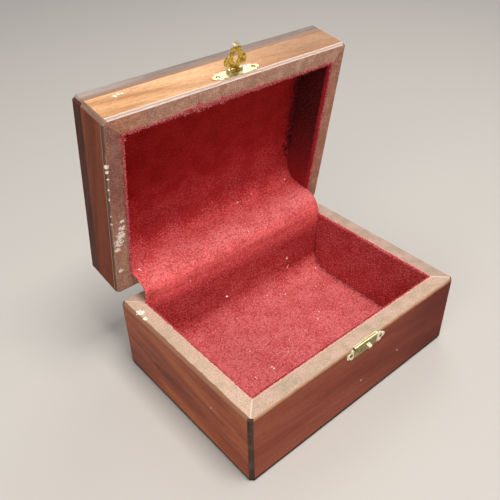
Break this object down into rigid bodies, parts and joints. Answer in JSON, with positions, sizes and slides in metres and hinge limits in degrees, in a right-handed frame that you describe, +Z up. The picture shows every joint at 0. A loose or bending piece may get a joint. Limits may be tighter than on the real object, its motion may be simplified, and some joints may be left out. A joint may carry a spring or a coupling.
{
  "type": "watch box",
  "caption": "Small hinged wooden box with dark corner strips, a red velvet lining and a stamped brass hasp, for watches or jewellery.",
  "frame": {"origin": "middle of the underside, on the surface that the box stands on", "axes": "+X to the right along the width, -Y to the front where the hasp is, +Z up"},
  "size_m": [0.15, 0.1379, 0.1702],
  "materials": {
    "stained_wood": "stained red-brown, lacquered outside, bare and sanded on the rims",
    "dark_strip": "dark hardwood strip, lacquered",
    "velvet": "red velvet, short pile",
    "pad_board": "plain pulp board, hidden",
    "brass": "stamped, lightly polished and a little worn"
  },
  "bodies": {
    "base": {"base_front_wall": "stained_wood", "base_back_wall": "stained_wood", "base_left_wall": "stained_wood", "base_right_wall": "stained_wood", "base_front_left_strip": "dark_strip", "base_front_right_strip": "dark_strip", "base_back_left_strip": "dark_strip", "base_back_right_strip": "dark_strip", "base_bottom_board": "dark_strip", "base_floor_pad": "pad_board", "base_floor_lining": "velvet", "base_front_lining": "velvet", "base_back_lining": "velvet", "base_left_lining": "velvet", "base_right_lining": "velvet", "hinge_lining": "velvet", "catch_plate": "brass", "catch_nails": "brass", "left_hinge_base_leaf": "brass", "right_hinge_base_leaf": "brass", "left_hinge_pin": "brass", "right_hinge_pin": "brass", "left_hinge_base_screws": "brass", "right_hinge_base_screws": "brass"},
    "lid": {"lid_front_wall": "stained_wood", "lid_back_wall": "stained_wood", "lid_left_wall": "stained_wood", "lid_right_wall": "stained_wood", "lid_front_left_strip": "dark_strip", "lid_front_right_strip": "dark_strip", "lid_back_left_strip": "dark_strip", "lid_back_right_strip": "dark_strip", "lid_front_band": "dark_strip", "lid_back_band": "dark_strip", "lid_left_band": "dark_strip", "lid_right_band": "dark_strip", "lid_top_panel": "stained_wood", "lid_panel_lining": "velvet", "lid_front_lining": "velvet", "lid_back_lining": "velvet", "lid_left_lining": "velvet", "lid_right_lining": "velvet", "left_hinge_lid_leaf": "brass", "right_hinge_lid_leaf": "brass", "left_hinge_lid_screws": "brass", "right_hinge_lid_screws": "brass", "hasp_plate": "brass", "hasp_nails": "brass", "hasp_pin": "brass"},
    "hasp": {"hasp_leaf": "brass"}
  },
  "joints": [
    {"name": "lid_hinge", "type": "hinge", "parent": "base", "child": "lid", "pos_m": [0, 0.05595, 0.04593], "axis": [1, 0, 0], "range_deg": [0, 80.5], "deforming": ["hinge_lining"]},
    {"name": "hasp_hinge", "type": "hinge", "parent": "lid", "child": "hasp", "pos_m": [0.0005, 0.04322, 0.15609], "axis": [1, 0, 0], "range_deg": [-80, 90]}
  ]
}
